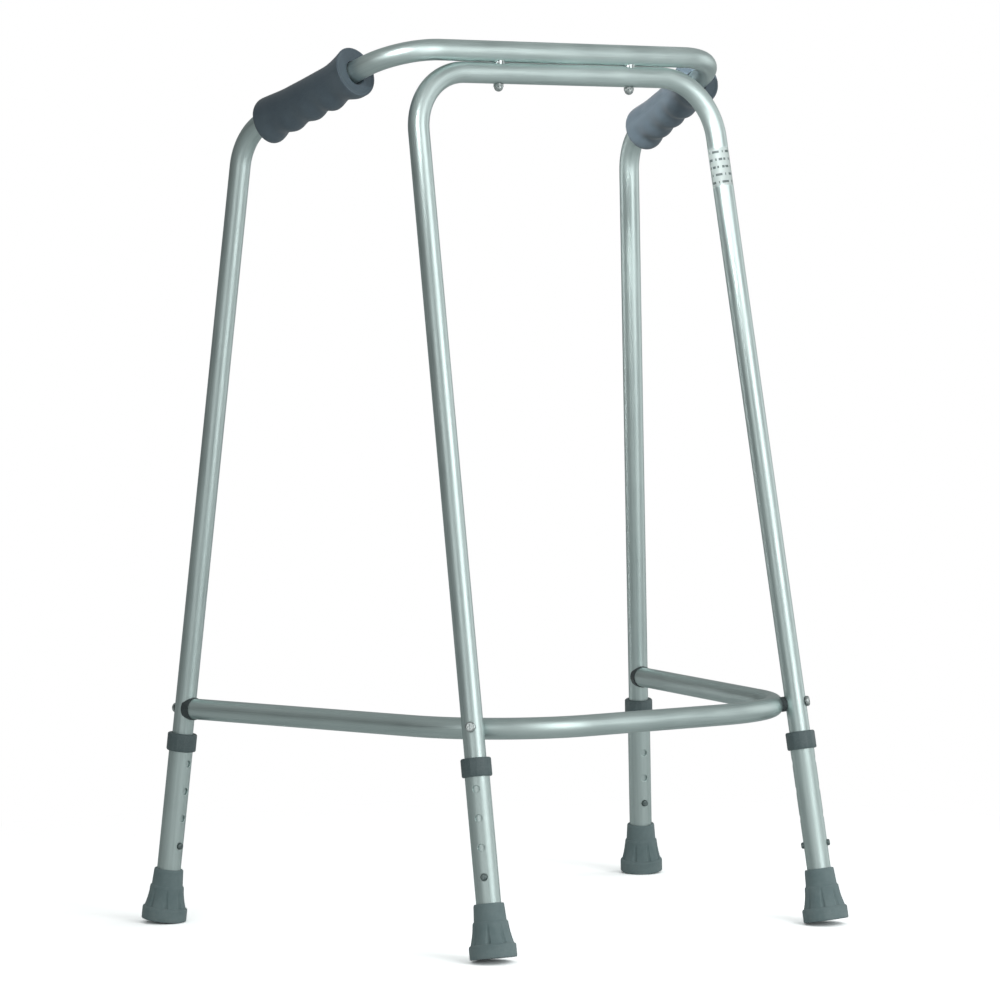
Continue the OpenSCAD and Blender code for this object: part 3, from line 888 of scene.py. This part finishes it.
def studio_world():
    """White to the camera. To everything else, a grey room, darkest opposite its bright wall."""
    world = bpy.data.worlds.new("studio")
    bpy.context.scene.world = world
    tree = shader_tree(world)
    new, link = tree.nodes.new, tree.links.new
    direction = new("ShaderNodeTexCoord").outputs["Generated"]
    facing = new("ShaderNodeVectorMath")
    facing.operation = "DOT_PRODUCT"
    link(direction, facing.inputs[0])
    facing.inputs[1].default_value = BRIGHT_WALL
    walls = new("ShaderNodeMapRange")
    for socket, value in zip(("From Min", "From Max", "To Min", "To Max"), (-1, 1, *WALLS)):
        walls.inputs[socket].default_value = value
    link(facing.outputs["Value"], walls.inputs["Value"])
    split = new("ShaderNodeSeparateXYZ")
    link(direction, split.inputs["Vector"])
    height = new("ShaderNodeMapRange")
    height.interpolation_type = "SMOOTHSTEP"
    height.inputs["From Min"].default_value, height.inputs["From Max"].default_value = CEILING_RAMP
    link(split.outputs["Z"], height.inputs["Value"])
    strength = new("ShaderNodeMix")
    link(height.outputs["Result"], strength.inputs["Factor"])
    link(walls.outputs["Result"], strength.inputs["A"])
    strength.inputs["B"].default_value = CEILING
    room, white = new("ShaderNodeBackground"), new("ShaderNodeBackground")
    room.inputs["Color"].default_value = ROOM_TINT
    link(strength.outputs["Result"], room.inputs["Strength"])
    white.inputs["Color"].default_value = (1, 1, 1, 1)
    path, mix = new("ShaderNodeLightPath"), new("ShaderNodeMixShader")
    out = new("ShaderNodeOutputWorld")
    link(path.outputs["Is Camera Ray"], mix.inputs["Fac"])
    link(room.outputs["Background"], mix.inputs[1])
    link(white.outputs["Background"], mix.inputs[2])
    link(mix.outputs["Shader"], out.inputs["Surface"])


def studio_floor():
    """A pale floor that brightens into the white background, and follows the lowest foot."""
    bpy.ops.mesh.primitive_circle_add(vertices=96, radius=30, fill_type="NGON")
    floor = bpy.context.object
    floor.name = "floor"
    material = bpy.data.materials.new("pale_floor")
    tree = shader_tree(material)
    new, link = tree.nodes.new, tree.links.new
    coordinate, length = new("ShaderNodeTexCoord"), new("ShaderNodeVectorMath")
    length.operation = "LENGTH"
    link(coordinate.outputs["Object"], length.inputs[0])
    fade = new("ShaderNodeMapRange")
    fade.interpolation_type = "SMOOTHSTEP"
    fade.inputs["From Min"].default_value, fade.inputs["From Max"].default_value = FLOOR_FADE
    link(length.outputs["Value"], fade.inputs["Value"])
    pale, dim = new("ShaderNodeBsdfDiffuse"), new("ShaderNodeBsdfDiffuse")
    white = new("ShaderNodeEmission")
    pale.inputs["Color"].default_value = (FLOOR_SEEN, FLOOR_SEEN, FLOOR_SEEN, 1)
    dim.inputs["Color"].default_value = FLOOR_TINT
    near_far, seen = new("ShaderNodeMixShader"), new("ShaderNodeMixShader")
    path, out = new("ShaderNodeLightPath"), new("ShaderNodeOutputMaterial")
    link(fade.outputs["Result"], near_far.inputs["Fac"])
    link(pale.outputs["BSDF"], near_far.inputs[1])
    link(white.outputs["Emission"], near_far.inputs[2])
    link(path.outputs["Is Camera Ray"], seen.inputs["Fac"])
    link(dim.outputs["BSDF"], seen.inputs[1])
    link(near_far.outputs["Shader"], seen.inputs[2])
    link(seen.outputs["Shader"], out.inputs["Surface"])
    floor.data.materials.append(material)
    follow = floor.driver_add("location", 2).driver
    follow.type = "SCRIPTED"
    for letter, leg in zip("abcd", LEGS):
        variable = follow.variables.new()
        variable.name = letter
        variable.type = "TRANSFORMS"
        variable.targets[0].id = frame["bodies"][leg + "_extension"]
        variable.targets[0].transform_type = "LOC_Z"
        variable.targets[0].transform_space = "WORLD_SPACE"
    follow.expression = "min(min(a, b), min(c, d))"


def softbox(name, at, aim, width, height, radiance, beam=180):
    """A rectangular lamp whose face has a given radiance, with its light kept within a beam in degrees."""
    light = bpy.data.lights.new(name, "AREA")
    light.shape = "RECTANGLE"
    light.size, light.size_y = width, height
    light.energy = radiance * math.pi * width * height
    light.spread = math.radians(beam)
    box = bpy.data.objects.new(name, light)
    box.location = at
    box.rotation_mode = "QUATERNION"
    box.rotation_quaternion = (Vector(aim) - Vector(at)).to_track_quat("-Z", "Y")
    box.visible_camera = False
    bpy.context.scene.collection.objects.link(box)


CAMERA_AT = Vector((-2.8186, -3.8233, 0.6742))
CAMERA_YAW, CAMERA_PITCH, CAMERA_ROLL = map(math.radians, (-36, 2.715, -0.363))
CAMERA_LENS, CAMERA_SENSOR = 160.57, 36
CAMERA_REACH = (0.1, 100)


def studio_camera():
    """Looks at the frame from its left front, a little below the hand grips."""
    yaw, pitch, roll = CAMERA_YAW, CAMERA_PITCH, CAMERA_ROLL
    level = Vector((math.cos(yaw), math.sin(yaw), 0))
    forwards = Vector((-math.sin(yaw), math.cos(yaw), 0))
    ahead = forwards * math.cos(pitch) - Vector((0, 0, math.sin(pitch)))
    above = level.cross(ahead)
    right = level * math.cos(roll) + above * math.sin(roll)
    up = above * math.cos(roll) - level * math.sin(roll)
    data = bpy.data.cameras.new("studio_camera")
    data.sensor_width, data.lens = CAMERA_SENSOR, CAMERA_LENS
    data.clip_start, data.clip_end = CAMERA_REACH
    camera = bpy.data.objects.new("studio_camera", data)
    camera.matrix_world = basis(right, up, -ahead, CAMERA_AT)
    bpy.context.scene.collection.objects.link(camera)
    bpy.context.scene.camera = camera


studio_world()
studio_floor()
# Each lamp's place and what it faces, in metres, its width and height, its radiance and its beam
softbox("key", (0.2, -1.75, 0.95), (0, 0, 0.6), 1.0, 1.6, 2.45)
softbox("front", (-2.6, -1.7, 1.1), (0, 0, 0.6), 1.3, 1.6, 1.2)
softbox("right_wall", (2.4, -0.6, 0.9), (0.2, 0.1, 0.6), 1.4, 1.8, 0.8)
softbox("right_beam", (-1.3, -1.2, 1.7), (0.30, 0.12, 0.88), 0.3, 0.3, 3.4, 15)
softbox("left_strip", (-0.5, 0.95, 0.6), (0.207, 0.107, 0.6), 0.2, 1.1, 0.12, 24)
studio_camera()
bpy.context.scene.view_settings.view_transform = "Standard"
